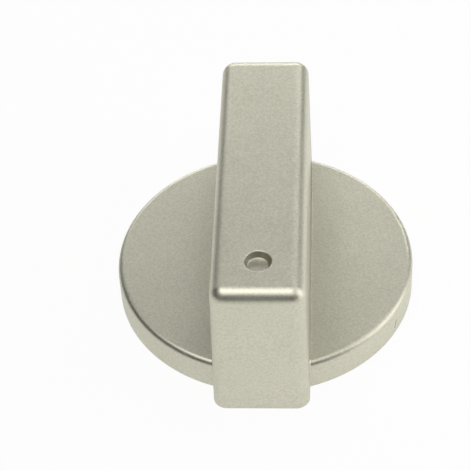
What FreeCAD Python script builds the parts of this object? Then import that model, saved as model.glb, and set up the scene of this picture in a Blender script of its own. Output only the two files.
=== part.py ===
import FreeCAD, Part
import math
import os
from FreeCAD import Vector

# Oven control knob: a round skirt with a tall grip bar across it, moulded in one piece.
# Underneath it is hollow, with ribs and a hub that takes a D-shaped shaft.
# A bent steel clip sits in the hub and presses on the shaft's flat.
# The shaft's axis is Z and the skirt's lower edge lies on Z = 0.
# The bar runs along Y, and its pointer end is the one at -Y.

# Outside of the skirt
skirt_diameter = 57.0
skirt_height = 6.4
skirt_draft_deg = 0.25
skirt_edge_radius = 1.1

# Outside of the grip bar, measured at its foot
knob_height = 30.0
bar_length = 64.5
bar_width = 17.8
end_draft_deg = 1.8
side_draft_deg = 0.95
bar_edge_radius = 2.6
root_radius = 0.4

# Pointer dot in the bar's top face
dot_diameter = 4.9
dot_floor_diameter = 3.9
dot_depth = 1.25
dot_inset = 9.1
dot_rim_radius = 0.25
dot_corner_radius = 0.3

# Hollow underside
end_wall = 2.1
side_wall = 2.55
rim_wall = 2.2
bar_top_wall = 2.3
skirt_top_wall = 1.6
core_draft_deg = 0.65
core_corner_radius = 0.5
rib_thickness = 1.4
rib_setback = 1.6

# Hub and its D-shaped socket
shaft_diameter = 8.0
shaft_across_flat = 6.5
shaft_clearance = 0.05
socket_depth = 16.0
socket_lead_in = 0.5
hub_diameter = 12.9
hub_setback = 1.0

# Spring clip, folded over the wall between the socket and the clip's slot
clip_thickness = 0.4
clip_width = 4.8
clip_inner_leg = 11.0
clip_outer_leg = 8.0
clip_bow = 0.3
clip_clearance = 0.06
clip_wall = 1.2
clip_slot_width = 0.7

# Places that follow from the sizes above
socket_radius = shaft_diameter / 2 + shaft_clearance
shaft_flat_y = shaft_across_flat - shaft_diameter / 2
socket_flat_y = shaft_flat_y + shaft_clearance + clip_thickness + clip_clearance
clip_slot_near_y = socket_flat_y + clip_wall
clip_slot_far_y = clip_slot_near_y + clip_slot_width
clip_bend_outer = clip_wall / 2 + clip_clearance + clip_thickness
clip_bend_z = hub_setback + clip_bend_outer + clip_clearance


def drafted_block(length, width, height, end_draft, side_draft):
    """Block on Z = 0, centred on the axis, whose ends and sides lean in as it rises."""
    foot_x = width / 2
    foot_y = length / 2
    top_x = foot_x - height * math.tan(math.radians(side_draft))
    top_y = foot_y - height * math.tan(math.radians(end_draft))
    block = Part.makeWedge(-foot_x, 0, -foot_y, -top_y, -top_x, foot_x, height, foot_y, top_y, top_x)
    block.rotate(Vector(0, 0, 0), Vector(1, 0, 0), 90)
    return block


def drafted_disc(radius, height):
    """Disc on Z = 0 whose rim leans in as it rises."""
    return Part.makeCone(radius, radius - height * math.tan(math.radians(skirt_draft_deg)), height)


def centred_box(size_x, size_y, low_z, high_z, centre_y=0.0):
    corner = Vector(-size_x / 2, centre_y - size_y / 2, low_z)
    return Part.makeBox(size_x, size_y, high_z - low_z, corner)


def make_bar():
    block = drafted_block(bar_length, bar_width, knob_height, end_draft_deg, side_draft_deg)
    outer_edges = [edge for edge in block.Edges if edge.BoundBox.ZMax > knob_height / 2]
    return block.makeFillet(bar_edge_radius, outer_edges)


def make_skirt():
    disc = drafted_disc(skirt_diameter / 2, skirt_height)
    top_edge = [edge for edge in disc.Edges if edge.BoundBox.ZMin > skirt_height / 2]
    return disc.makeFillet(skirt_edge_radius, top_edge)


def root_edges(shape):
    """Inside corners where the bar's sides meet the skirt's top, edge and rim."""
    found = []
    lean = math.tan(math.radians(side_draft_deg))
    for edge in shape.Edges:
        middle = edge.valueAt((edge.FirstParameter + edge.LastParameter) / 2)
        side_x = bar_width / 2 - middle.z * lean
        on_side = abs(abs(middle.x) - side_x) < 0.01
        on_skirt = 0.01 < middle.z and edge.BoundBox.ZMax < skirt_height + 0.01
        if on_side and on_skirt:
            found.append(edge)
    return found


def make_ribs():
    """Cross of ribs: two arms along the bar and two out to the skirt's rim."""
    along = centred_box(rib_thickness, bar_length, rib_setback, knob_height)
    across = centred_box(skirt_diameter, rib_thickness, rib_setback, skirt_height)
    return along.fuse(across)


def make_core():
    """Hollow under the knob, which leaves the walls, the hub and the ribs standing."""
    bar_core = drafted_block(bar_length - 2 * end_wall, bar_width - 2 * side_wall,
                             knob_height - bar_top_wall, core_draft_deg, core_draft_deg)
    corners = [edge for edge in bar_core.Edges if edge.BoundBox.ZLength > knob_height / 2]
    bar_core = bar_core.makeFillet(core_corner_radius, corners)
    skirt_core = drafted_disc(skirt_diameter / 2 - rim_wall, skirt_height - skirt_top_wall)
    hub = Part.makeCylinder(hub_diameter / 2, knob_height, Vector(0, 0, hub_setback))
    return bar_core.fuse(skirt_core).cut(hub).cut(make_ribs())


def make_socket():
    """D-shaped hole for the shaft, with a lead-in, and the slot and seat for the clip."""
    hole = Part.makeCylinder(socket_radius, socket_depth, Vector(0, 0, hub_setback))
    beyond_flat = centred_box(shaft_diameter, shaft_diameter, 0, knob_height,
                              -socket_flat_y - shaft_diameter / 2)
    lead_in = Part.makeCone(socket_radius + socket_lead_in, socket_radius, socket_lead_in,
                            Vector(0, 0, hub_setback))
    hole = hole.fuse(lead_in).cut(beyond_flat)
    slot_width = clip_width + 2 * clip_clearance
    slot_y = -(clip_slot_near_y + clip_slot_far_y) / 2
    slot_top = clip_bend_z + clip_outer_leg + clip_clearance
    slot = centred_box(slot_width, clip_slot_width, hub_setback, slot_top, slot_y)
    seat_depth = clip_slot_far_y - shaft_flat_y
    seat = centred_box(slot_width, seat_depth, hub_setback, clip_bend_z,
                       -clip_slot_far_y + seat_depth / 2)
    return hole.fuse(slot).fuse(seat)


def sink_dot(body):
    """Round recess in the bar's top, narrower at its floor, with a softened rim and corner."""
    floor_centre = Vector(0, dot_inset - bar_length / 2, knob_height - dot_depth)
    dot = Part.makeCone(dot_floor_diameter / 2, dot_diameter / 2, dot_depth, floor_centre)
    floor_edge = [edge for edge in dot.Edges if edge.BoundBox.ZMax < knob_height - dot_depth / 2]
    body = body.cut(dot.makeFillet(dot_corner_radius, floor_edge))
    rim = [edge for edge in body.Edges
           if edge.BoundBox.ZMin > knob_height - 0.01 and edge.BoundBox.XLength < dot_diameter + 0.01
           and edge.BoundBox.YLength < dot_diameter + 0.01]
    return body.makeFillet(dot_rim_radius, rim)


def make_knob_body():
    body = make_skirt().fuse(make_bar()).removeSplitter()
    body = body.makeFillet(root_radius, root_edges(body))
    body = body.cut(make_core()).cut(make_socket())
    return sink_dot(body)


def clip_arc(start_y, start_z, middle_y, middle_z, end_y, end_z):
    points = Vector(0, start_y, start_z), Vector(0, middle_y, middle_z), Vector(0, end_y, end_z)
    return Part.Arc(*points).toShape()


def clip_line(start_y, start_z, end_y, end_z):
    return Part.makeLine(Vector(0, start_y, start_z), Vector(0, end_y, end_z))


def make_shaft_spring():
    """Steel strip folded to a U: the inner leg bows towards the shaft's flat."""
    middle = -(socket_flat_y + clip_wall / 2)
    inside = clip_wall / 2 + clip_clearance
    outside = inside + clip_thickness
    fold = clip_bend_z
    inner_tip = fold + clip_inner_leg
    outer_tip = fold + clip_outer_leg
    belly = (fold + inner_tip) / 2
    near = middle + inside
    facing = middle + outside
    outline = Part.Wire([
        clip_line(middle - outside, outer_tip, middle - inside, outer_tip),
        clip_line(middle - inside, outer_tip, middle - inside, fold),
        clip_arc(middle - inside, fold, middle, fold - inside, near, fold),
        clip_arc(near, fold, near + clip_bow, belly, near, inner_tip),
        clip_line(near, inner_tip, facing, inner_tip),
        clip_arc(facing, inner_tip, facing + clip_bow, belly, facing, fold),
        clip_arc(facing, fold, middle, fold - outside, middle - outside, fold),
        clip_line(middle - outside, fold, middle - outside, outer_tip),
    ])
    strip = Part.Face(outline).extrude(Vector(clip_width, 0, 0))
    strip.translate(Vector(-clip_width / 2, 0, 0))
    return strip


os.makedirs("parts", exist_ok=True)
make_knob_body().exportStep("parts/knob_body.step")
make_shaft_spring().exportStep("parts/shaft_spring.step")
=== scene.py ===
import math

import bpy
from mathutils import Matrix, Vector

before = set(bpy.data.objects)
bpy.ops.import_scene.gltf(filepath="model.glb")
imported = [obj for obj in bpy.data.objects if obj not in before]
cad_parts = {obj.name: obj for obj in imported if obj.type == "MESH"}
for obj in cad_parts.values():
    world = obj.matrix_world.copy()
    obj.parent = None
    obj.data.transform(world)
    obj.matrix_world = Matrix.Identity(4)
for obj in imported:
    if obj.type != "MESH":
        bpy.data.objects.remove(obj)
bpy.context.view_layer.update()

bl_info = {
    "name": "Oven Control Knob",
    "version": (1, 0, 0),
    "blender": (4, 5, 0),
    "location": "3D View > Sidebar > Knob",
    "description": "Finishes the oven control knob and sets its studio",
    "category": "Object",
}

MM = 0.001

# The picture's width in pixels, and the camera's sensor in millimetres and nearest and furthest metre.
IMAGE_PX = 470
SENSOR_MM = 36.0
CLIP_NEAR = 0.01
CLIP_FAR = 20

# Small marks in the plating, in millimetres: start, end, width, and how dark they are.
# The first is a scratch on the skirt's rim, and the others are pits in the disc and the bar's top.
MARKS = (
    ((25.08, -13.50, 3.22), (24.80, -14.02, 1.57), 0.38, 0.95),
    ((-20.2, 10.2, 6.4), (-20.1, 10.2, 6.4), 0.6, 0.14),
    ((-5.1, 1.6, 30.0), (-5.0, 1.6, 30.0), 0.7, 0.14),
)

# The pointer dot's recess, in millimetres: the middle of its rim, and the radii of its floor and rim.
DOT_RIM = (0.0, -23.15, 30.0)
DOT_FLOOR_RADIUS = 1.95
DOT_RIM_RADIUS = 2.45

# Painted shade on the recess's wall, in millimetres. It grows from none to full between the two radii, fades
# out between the two heights below the rim, and reaches no further out than the last radius.
WALL_SHADE_RADII = (DOT_FLOOR_RADIUS - 0.2, DOT_FLOOR_RADIUS + 0.05)
WALL_SHADE_HEIGHTS = (-0.3, -0.08)
WALL_SHADE_LIMIT = DOT_RIM_RADIUS + 0.5

# Ranges that a noise texture's values are taken to fill, for tone and for roughness.
TONE_NOISE = (0.25, 0.75)
ROUGH_NOISE = (0.3, 0.7)

# How far the grain moves the plating's roughness, and how finely the sheltered corners are sampled for their
# painted shade.
ROUGHNESS_SPREAD = 0.03
SHELTER_SAMPLES = 16

# Lines in the spring steel: how often they change along the strip in a metre, the roughness that they
# range over, and how deep and how strong they are.
STEEL_CHANGES = 60.0
STEEL_ROUGHNESS = (0.22, 0.38)
STEEL_LINE_DEPTH = 0.01 * MM
STEEL_LINE_STRENGTH = 0.2

# Sockets of a colour Mix node. Its inputs share their names with other kinds, so they go by number.
MIX_SHARE = 0
MIX_FIRST = 6
MIX_SECOND = 7
MIX_RESULT = 2

# Soft boxes round the knob: name, azimuth and elevation in degrees, distance, width and height in
# metres, and the studio's setting that holds their brightness.
SOFT_BOXES = (
    ("top_box", 0, 72, 0.60, 0.48, 0.34, "top_light"),
    ("left_box", -90, 74, 0.60, 0.30, 0.18, "left_light"),
    ("right_box", 90, 26, 0.60, 0.52, 0.56, "right_light"),
    ("rear_box", 180, 24, 0.80, 0.90, 0.24, "rear_light"),
    ("corner_box", 135, 62, 0.60, 0.30, 0.22, "corner_light"),
    ("low_box", -135, 22, 0.80, 0.40, 0.30, "low_light"),
)

# Half the width of the paper, in metres.
PAPER_HALF = 3.0


def hex_colour(text):
    """sRGB hex, such as CFCDBB, as linear red, green, blue and alpha."""
    channels = [int(text[i:i + 2], 16) / 255 for i in (0, 2, 4)]
    linear = [c / 12.92 if c <= 0.04045 else ((c + 0.055) / 1.055) ** 2.4 for c in channels]
    return (*linear, 1.0)


def add_node(tree, kind, links=None, **settings):
    """Adds a node. Settings name its properties, and links its inputs, as values or sockets."""
    node = tree.nodes.new(kind)
    for name, value in settings.items():
        setattr(node, name, value)
    for key, value in (links or {}).items():
        if isinstance(value, bpy.types.NodeSocket):
            tree.links.new(value, node.inputs[key])
        else:
            node.inputs[key].default_value = value
    return node


def new_material(name):
    """Empty material and its node tree."""
    material = bpy.data.materials.new(name)
    material.use_nodes = True
    material.node_tree.nodes.clear()
    return material, material.node_tree


def mark_shade(tree, place, start, end, width, darkness):
    """Shade of one mark: full darkness along its line, and none half a width away from it."""
    start, line = Vector(start) * MM, (Vector(end) - Vector(start)) * MM
    offset = add_node(tree, "ShaderNodeVectorMath", {0: place, 1: start}, operation="SUBTRACT")
    along = add_node(tree, "ShaderNodeVectorMath", {
        0: offset.outputs["Vector"], 1: line / line.length_squared}, operation="DOT_PRODUCT")
    share = add_node(tree, "ShaderNodeClamp", {"Value": along.outputs["Value"]})
    nearest = add_node(tree, "ShaderNodeVectorMath", {
        0: line, "Scale": share.outputs["Result"]}, operation="SCALE")
    away = add_node(tree, "ShaderNodeVectorMath", {
        0: offset.outputs["Vector"], 1: nearest.outputs["Vector"]}, operation="DISTANCE")
    shade = add_node(tree, "ShaderNodeMapRange", {
        "Value": away.outputs["Value"], "From Min": 0.0, "From Max": width * MM / 2,
        "To Min": darkness, "To Max": 0.0}, interpolation_type="SMOOTHSTEP")
    return shade.outputs["Result"]


def painted_dot_wall_shade(tree, place, darkness):
    """Painted shade on the recess's wall: none in the middle of its floor, and none at its rim."""
    offset = add_node(tree, "ShaderNodeVectorMath", {
        0: place, 1: Vector(DOT_RIM) * MM}, operation="SUBTRACT")
    flat = add_node(tree, "ShaderNodeVectorMath", {
        0: offset.outputs["Vector"], 1: (1, 1, 0)}, operation="MULTIPLY")
    radius = add_node(tree, "ShaderNodeVectorMath", {0: flat.outputs["Vector"]}, operation="LENGTH")
    height = add_node(tree, "ShaderNodeSeparateXYZ", {"Vector": offset.outputs["Vector"]})
    on_wall = add_node(tree, "ShaderNodeMapRange", {
        "Value": radius.outputs["Value"],
        "From Min": WALL_SHADE_RADII[0] * MM, "From Max": WALL_SHADE_RADII[1] * MM,
        "To Min": 0.0, "To Max": darkness}, interpolation_type="SMOOTHSTEP")
    inside = add_node(tree, "ShaderNodeMath", {
        0: radius.outputs["Value"], 1: WALL_SHADE_LIMIT * MM}, operation="LESS_THAN")
    below = add_node(tree, "ShaderNodeMapRange", {
        "Value": height.outputs["Z"],
        "From Min": WALL_SHADE_HEIGHTS[0] * MM, "From Max": WALL_SHADE_HEIGHTS[1] * MM,
        "To Min": 1.0, "To Max": 0.0}, interpolation_type="SMOOTHSTEP")
    wall = add_node(tree, "ShaderNodeMath", {
        0: on_wall.outputs["Result"], 1: inside.outputs[0]}, operation="MULTIPLY")
    wall_shading = add_node(tree, "ShaderNodeMath", {
        0: wall.outputs[0], 1: below.outputs["Result"]}, operation="MULTIPLY")
    return wall_shading.outputs[0]


# Satin nickel plating on moulded ABS. The blasted mould gives it a fine, even grain that blurs
# reflections softly, so broad faces look even and the rounded edges carry the bright and dark bands.
# The real grain, of 0.1 to 0.2 mm, is finer than a pixel, so it is drawn two to four times as coarse.
# Painted shade darkens the colour in sheltered inside corners and on the dot's wall.
def satin_nickel(finish):
    material, tree = new_material("satin_nickel_plating")
    place = add_node(tree, "ShaderNodeTexCoord").outputs["Object"]
    grain = add_node(tree, "ShaderNodeTexNoise", {
        "Vector": place, "Scale": 1.0 / finish.grain_size, "Detail": 2.0})
    cloud = add_node(tree, "ShaderNodeTexNoise", {
        "Vector": place, "Scale": 1.0 / finish.cloud_size, "Detail": 2.0})
    speckle = add_node(tree, "ShaderNodeMapRange", {
        "Value": grain.outputs["Fac"], "From Min": TONE_NOISE[0], "From Max": TONE_NOISE[1],
        "To Min": 0.5 - finish.grain_contrast, "To Max": 0.5 + finish.grain_contrast}, clamp=False)
    drift = add_node(tree, "ShaderNodeMapRange", {
        "Value": cloud.outputs["Fac"], "From Min": TONE_NOISE[0], "From Max": TONE_NOISE[1],
        "To Min": -finish.cloud_contrast, "To Max": finish.cloud_contrast}, clamp=False)
    tone = add_node(tree, "ShaderNodeMath", {
        0: speckle.outputs["Result"], 1: drift.outputs["Result"]}, operation="ADD", use_clamp=True)
    colour = add_node(tree, "ShaderNodeValToRGB", {"Fac": tone.outputs[0]})
    colour.color_ramp.elements[0].color = hex_colour(finish.shade_hex)
    colour.color_ramp.elements[1].color = hex_colour(finish.nickel_hex)
    # Painted shade: the colour darkens towards the mark colour the more sheltered an inside corner is.
    open_air = add_node(tree, "ShaderNodeAmbientOcclusion", {
        "Distance": finish.corner_reach}, samples=SHELTER_SAMPLES, only_local=True)
    corner = add_node(tree, "ShaderNodeMapRange", {
        "Value": open_air.outputs["AO"], "To Min": finish.corner_shade, "To Max": 0.0})
    shaded_plating = add_node(tree, "ShaderNodeMix", {
        MIX_SHARE: corner.outputs["Result"], MIX_FIRST: colour.outputs["Color"],
        MIX_SECOND: hex_colour(finish.mark_and_shade_hex)}, data_type="RGBA")
    # Painted shade on the dot's wall, joined with the real scratch and pits in the plating.
    marks_and_shade = painted_dot_wall_shade(tree, place, finish.dot_shade)
    for start, end, width, darkness in MARKS:
        shade = mark_shade(tree, place, start, end, width, darkness)
        marks_and_shade = add_node(tree, "ShaderNodeMath", {0: marks_and_shade, 1: shade}, operation="MAXIMUM").outputs[0]
    marked_and_shaded = add_node(tree, "ShaderNodeMix", {
        MIX_SHARE: marks_and_shade, MIX_FIRST: shaded_plating.outputs[MIX_RESULT],
        MIX_SECOND: hex_colour(finish.mark_and_shade_hex)}, data_type="RGBA")
    rough = add_node(tree, "ShaderNodeMapRange", {
        "Value": grain.outputs["Fac"], "From Min": ROUGH_NOISE[0], "From Max": ROUGH_NOISE[1],
        "To Min": finish.roughness - ROUGHNESS_SPREAD, "To Max": finish.roughness + ROUGHNESS_SPREAD})
    bump = add_node(tree, "ShaderNodeBump", {
        "Height": grain.outputs["Fac"], "Strength": finish.grain_strength,
        "Distance": finish.grain_depth})
    surface = add_node(tree, "ShaderNodeBsdfPrincipled", {
        "Base Color": marked_and_shaded.outputs[MIX_RESULT], "Metallic": 1.0,
        "Roughness": rough.outputs["Result"], "Normal": bump.outputs["Normal"]})
    add_node(tree, "ShaderNodeOutputMaterial", {"Surface": surface.outputs["BSDF"]})
    return material


# Rolled spring steel strip: cold rolled, so its fine lines run along the strip.
def spring_steel(finish):
    material, tree = new_material("rolled_spring_steel")
    place = add_node(tree, "ShaderNodeTexCoord").outputs["Object"]
    drawn = add_node(tree, "ShaderNodeMapping", {
        "Vector": place, "Scale": (1.0 / finish.line_width, STEEL_CHANGES, STEEL_CHANGES)})
    lines = add_node(tree, "ShaderNodeTexNoise", {
        "Vector": drawn.outputs["Vector"], "Scale": 1.0, "Detail": 2.0})
    rough = add_node(tree, "ShaderNodeMapRange", {
        "Value": lines.outputs["Fac"], "To Min": STEEL_ROUGHNESS[0], "To Max": STEEL_ROUGHNESS[1]})
    bump = add_node(tree, "ShaderNodeBump", {
        "Height": lines.outputs["Fac"], "Strength": STEEL_LINE_STRENGTH, "Distance": STEEL_LINE_DEPTH})
    surface = add_node(tree, "ShaderNodeBsdfPrincipled", {
        "Base Color": hex_colour(finish.steel_hex), "Metallic": 1.0,
        "Roughness": rough.outputs["Result"], "Normal": bump.outputs["Normal"]})
    add_node(tree, "ShaderNodeOutputMaterial", {"Surface": surface.outputs["BSDF"]})
    return material


# Matt white paper sweep. The camera sees it white, with a faint shadow left in it, and the metal
# mirrors it a little greyer.
def paper_sweep(studio):
    material, tree = new_material("white_paper_sweep")
    paper = add_node(tree, "ShaderNodeBsdfDiffuse", {"Color": hex_colour(studio.paper_hex)})
    white = add_node(tree, "ShaderNodeEmission", {"Color": (1, 1, 1, 1), "Strength": 1.0})
    rays = add_node(tree, "ShaderNodeLightPath")
    seen = add_node(tree, "ShaderNodeMath", {
        0: rays.outputs["Is Camera Ray"], 1: studio.paper_glow}, operation="MULTIPLY")
    mirrored = add_node(tree, "ShaderNodeMath", {
        0: rays.outputs["Is Glossy Ray"], 1: studio.paper_shine, 2: seen.outputs[0]},
        operation="MULTIPLY_ADD")
    mixed = add_node(tree, "ShaderNodeMixShader", {
        0: mirrored.outputs[0], 1: paper.outputs[0], 2: white.outputs[0]})
    add_node(tree, "ShaderNodeOutputMaterial", {"Surface": mixed.outputs[0]})
    return material


def set_world(studio):
    """Room round the table: white behind the paper's edge to the camera, and unlit otherwise."""
    world = bpy.data.worlds.new("studio_air")
    bpy.context.scene.world = world
    world.use_nodes = True
    tree = world.node_tree
    tree.nodes.clear()
    room = add_node(tree, "ShaderNodeBackground", {
        "Color": hex_colour(studio.room_hex), "Strength": studio.room_light})
    white = add_node(tree, "ShaderNodeBackground", {"Color": (1, 1, 1, 1), "Strength": 1.0})
    rays = add_node(tree, "ShaderNodeLightPath")
    mixed = add_node(tree, "ShaderNodeMixShader", {
        0: rays.outputs["Is Camera Ray"], 1: room.outputs[0], 2: white.outputs[0]})
    add_node(tree, "ShaderNodeOutputWorld", {"Surface": mixed.outputs[0]})


def direction(azimuth, elevation):
    """Unit vector out of the knob. Azimuth 0 is towards -Y, and it grows towards +X."""
    flat = math.cos(elevation)
    return Vector((math.sin(azimuth) * flat, -math.cos(azimuth) * flat, math.sin(elevation)))


def soft_box(name, azimuth, elevation, distance, width, height, radiance):
    """Rectangular soft light that faces the knob, with its brightness given as seen from there."""
    data = bpy.data.lights.new(name, "AREA")
    data.shape = "RECTANGLE"
    data.size = width
    data.size_y = height
    data.energy = radiance * math.pi * width * height
    lamp = bpy.data.objects.new(name, data)
    bpy.context.scene.collection.objects.link(lamp)
    towards = direction(azimuth, elevation)
    lamp.location = towards * distance
    lamp.rotation_mode = "QUATERNION"
    lamp.rotation_quaternion = towards.to_track_quat("Z", "Y")


def lay_paper(material):
    """Square sheet under the knob, which stands on it."""
    half = PAPER_HALF
    corners = [(-half, -half, 0), (half, -half, 0), (half, half, 0), (-half, half, 0)]
    mesh = bpy.data.meshes.new("paper")
    mesh.from_pydata(corners, [], [(0, 1, 2, 3)])
    mesh.materials.append(material)
    paper = bpy.data.objects.new("paper", mesh)
    bpy.context.scene.collection.objects.link(paper)


def place_camera(studio):
    """Camera at the photograph's place, with the knob off the middle as it is there."""
    back = direction(studio.view_azimuth, studio.view_elevation)
    right = Vector((math.cos(studio.view_azimuth), math.sin(studio.view_azimuth), 0))
    up = back.cross(right)
    turn = Matrix.Rotation(studio.view_roll, 3, back)
    right, up = turn @ right, turn @ up
    data = bpy.data.cameras.new("photo_camera")
    data.sensor_width = SENSOR_MM
    data.lens = studio.focal_px * SENSOR_MM / IMAGE_PX
    data.clip_start = CLIP_NEAR
    data.clip_end = CLIP_FAR
    camera = bpy.data.objects.new("photo_camera", data)
    bpy.context.scene.collection.objects.link(camera)
    spot = back * studio.view_distance - right * studio.view_right - up * studio.view_up
    axes = Matrix((right, up, back)).transposed().to_4x4()
    camera.matrix_world = Matrix.Translation(spot) @ axes
    bpy.context.scene.camera = camera


def dress(node, material):
    """Gives a CAD node its material."""
    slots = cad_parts[node].data.materials
    slots.clear()
    slots.append(material)


class KnobFinish(bpy.types.PropertyGroup):
    nickel_hex: bpy.props.StringProperty(
        name="Nickel colour", description="sRGB hex of the satin nickel", default="E8E6D4")
    shade_hex: bpy.props.StringProperty(
        name="Nickel shade", description="sRGB hex where the plating is a little darker", default="D0CEBC")
    # Colour of the real marks, and also of the painted shade in inside corners and on the dot's wall.
    mark_and_shade_hex: bpy.props.StringProperty(
        name="Mark colour", description="sRGB hex that marks, grime and inside corners darken towards",
        default="3C3A33")
    # Painted shade of inside corners: how dark it is, and how far from a corner it reaches.
    corner_shade: bpy.props.FloatProperty(
        name="Corner shade", description="How much darker the thinner plating of inside corners is",
        default=0.13, min=0, max=1)
    corner_reach: bpy.props.FloatProperty(
        name="Corner reach", description="How far from a corner the plating thins",
        default=8 * MM, unit="LENGTH")
    # Painted shade on the wall of the pointer dot.
    dot_shade: bpy.props.FloatProperty(
        name="Dot grime", description="How dark the grime on the wall of the pointer dot is",
        default=0.31, min=0, max=1)
    roughness: bpy.props.FloatProperty(
        name="Roughness", description="How far the satin blurs reflections", default=0.465, min=0, max=1)
    grain_size: bpy.props.FloatProperty(
        name="Grain size", description="Width of one grain of the blasted surface, drawn coarser than real",
        default=0.45 * MM, unit="LENGTH")
    grain_depth: bpy.props.FloatProperty(
        name="Grain depth", description="Height of the grain", default=0.02 * MM, unit="LENGTH")
    grain_strength: bpy.props.FloatProperty(
        name="Grain strength", description="How much the grain turns the light", default=0.30, min=0, max=1)
    grain_contrast: bpy.props.FloatProperty(
        name="Grain contrast", description="How far the grain moves between the shade and the full colour",
        default=0.45, min=0, max=0.5)
    cloud_contrast: bpy.props.FloatProperty(
        name="Cloud contrast", description="How far the faint areas move between the two colours",
        default=0.10, min=0, max=0.5)
    cloud_size: bpy.props.FloatProperty(
        name="Cloud size", description="Width of the faint lighter and darker areas",
        default=9 * MM, unit="LENGTH")
    steel_hex: bpy.props.StringProperty(
        name="Steel colour", description="sRGB hex of the spring steel", default="B9B9B6")
    line_width: bpy.props.FloatProperty(
        name="Rolling line", description="Width of the lines that rolling leaves in the strip",
        default=0.15 * MM, unit="LENGTH")


class KnobStudio(bpy.types.PropertyGroup):
    view_azimuth: bpy.props.FloatProperty(
        name="View azimuth", description="Camera's turn from the pointer end towards +X",
        default=math.radians(4.56), subtype="ANGLE")
    view_elevation: bpy.props.FloatProperty(
        name="View elevation", description="Camera's height above the table, as an angle",
        default=math.radians(46.33), subtype="ANGLE")
    view_roll: bpy.props.FloatProperty(
        name="View roll", description="Tilt of the camera about its own line of sight",
        default=math.radians(-3.38), subtype="ANGLE")
    view_distance: bpy.props.FloatProperty(
        name="View distance", description="From the camera to the foot of the shaft's axis",
        default=344.15 * MM, unit="LENGTH")
    view_right: bpy.props.FloatProperty(
        name="Knob to the right", description="How far the knob stands right of the picture's middle",
        default=6.07 * MM, unit="LENGTH")
    view_up: bpy.props.FloatProperty(
        name="Knob up", description="How far the knob's foot stands above the picture's middle",
        default=-8.47 * MM, unit="LENGTH")
    focal_px: bpy.props.FloatProperty(
        name="Focal length in pixels", description="Lens, measured in pixels of the picture", default=1753.6)
    room_hex: bpy.props.StringProperty(
        name="Room colour", description="sRGB hex of the room round the table", default="FFFFFF")
    room_light: bpy.props.FloatProperty(
        name="Room light", description="Brightness of the room round the table", default=0.0, min=0)
    paper_hex: bpy.props.StringProperty(
        name="Paper colour", description="sRGB hex of the paper under the knob", default="F7F7F5")
    paper_glow: bpy.props.FloatProperty(
        name="Paper whiteness", description="Share of plain white in the paper, as the camera sees it",
        default=0.95, min=0, max=1, subtype="FACTOR")
    paper_shine: bpy.props.FloatProperty(
        name="Paper in the metal", description="Share of plain white in the paper, as the metal mirrors it",
        default=0.62, min=0, max=1, subtype="FACTOR")
    top_light: bpy.props.FloatProperty(
        name="Top light", description="Brightness of the soft box overhead", default=2.28, min=0)
    left_light: bpy.props.FloatProperty(
        name="Left light", description="Brightness of the small soft box high on the left",
        default=3.4, min=0)
    right_light: bpy.props.FloatProperty(
        name="Right light", description="Brightness of the tall soft box on the right",
        default=1.8, min=0)
    rear_light: bpy.props.FloatProperty(
        name="Rear light", description="Brightness of the wide soft box behind the knob",
        default=3.35, min=0)
    corner_light: bpy.props.FloatProperty(
        name="Corner light", description="Brightness of the small soft box high behind on the right",
        default=1.08, min=0)
    low_light: bpy.props.FloatProperty(
        name="Low light", description="Brightness of the soft box low behind on the left",
        default=0.30, min=0)


class KNOB_OT_body(bpy.types.Operator):
    """Gives the moulded knob its satin nickel plating"""
    bl_idname = "knob.body"
    bl_label = "Knob Body"

    def execute(self, context):
        dress("knob_body", satin_nickel(context.scene.knob_finish))
        return {"FINISHED"}


class KNOB_OT_spring(bpy.types.Operator):
    """Gives the clip in the hub its spring steel"""
    bl_idname = "knob.spring"
    bl_label = "Shaft Spring"

    def execute(self, context):
        dress("shaft_spring", spring_steel(context.scene.knob_finish))
        return {"FINISHED"}


class KNOB_OT_stage(bpy.types.Operator):
    """Lays the white paper and sets the soft boxes, the room and the camera"""
    bl_idname = "knob.stage"
    bl_label = "Studio"

    def execute(self, context):
        studio = context.scene.knob_studio
        lay_paper(paper_sweep(studio))
        for name, azimuth, elevation, distance, width, height, setting in SOFT_BOXES:
            light = getattr(studio, setting)
            soft_box(name, math.radians(azimuth), math.radians(elevation), distance, width, height, light)
        set_world(studio)
        place_camera(studio)
        context.scene.view_settings.view_transform = "Standard"
        return {"FINISHED"}


class KNOB_PT_panel(bpy.types.Panel):
    """Lists the steps that finish the knob and its studio"""
    bl_idname = "KNOB_PT_panel"
    bl_label = "Oven Control Knob"
    bl_space_type = "VIEW_3D"
    bl_region_type = "UI"
    bl_category = "Knob"

    def draw(self, context):
        column = self.layout.column()
        for step in STEPS:
            column.operator(step.bl_idname)
        for group in (context.scene.knob_finish, context.scene.knob_studio):
            for name in group.__annotations__:
                column.prop(group, name)


STEPS = (KNOB_OT_body, KNOB_OT_spring, KNOB_OT_stage)
CLASSES = (KnobFinish, KnobStudio, *STEPS, KNOB_PT_panel)


def register():
    for entry in CLASSES:
        bpy.utils.register_class(entry)
    bpy.types.Scene.knob_finish = bpy.props.PointerProperty(type=KnobFinish)
    bpy.types.Scene.knob_studio = bpy.props.PointerProperty(type=KnobStudio)


def unregister():
    del bpy.types.Scene.knob_studio
    del bpy.types.Scene.knob_finish
    for entry in reversed(CLASSES):
        bpy.utils.unregister_class(entry)


def main():
    register()
    bpy.ops.knob.body()
    bpy.ops.knob.spring()
    bpy.ops.knob.stage()


if __name__ == "__main__":
    main()
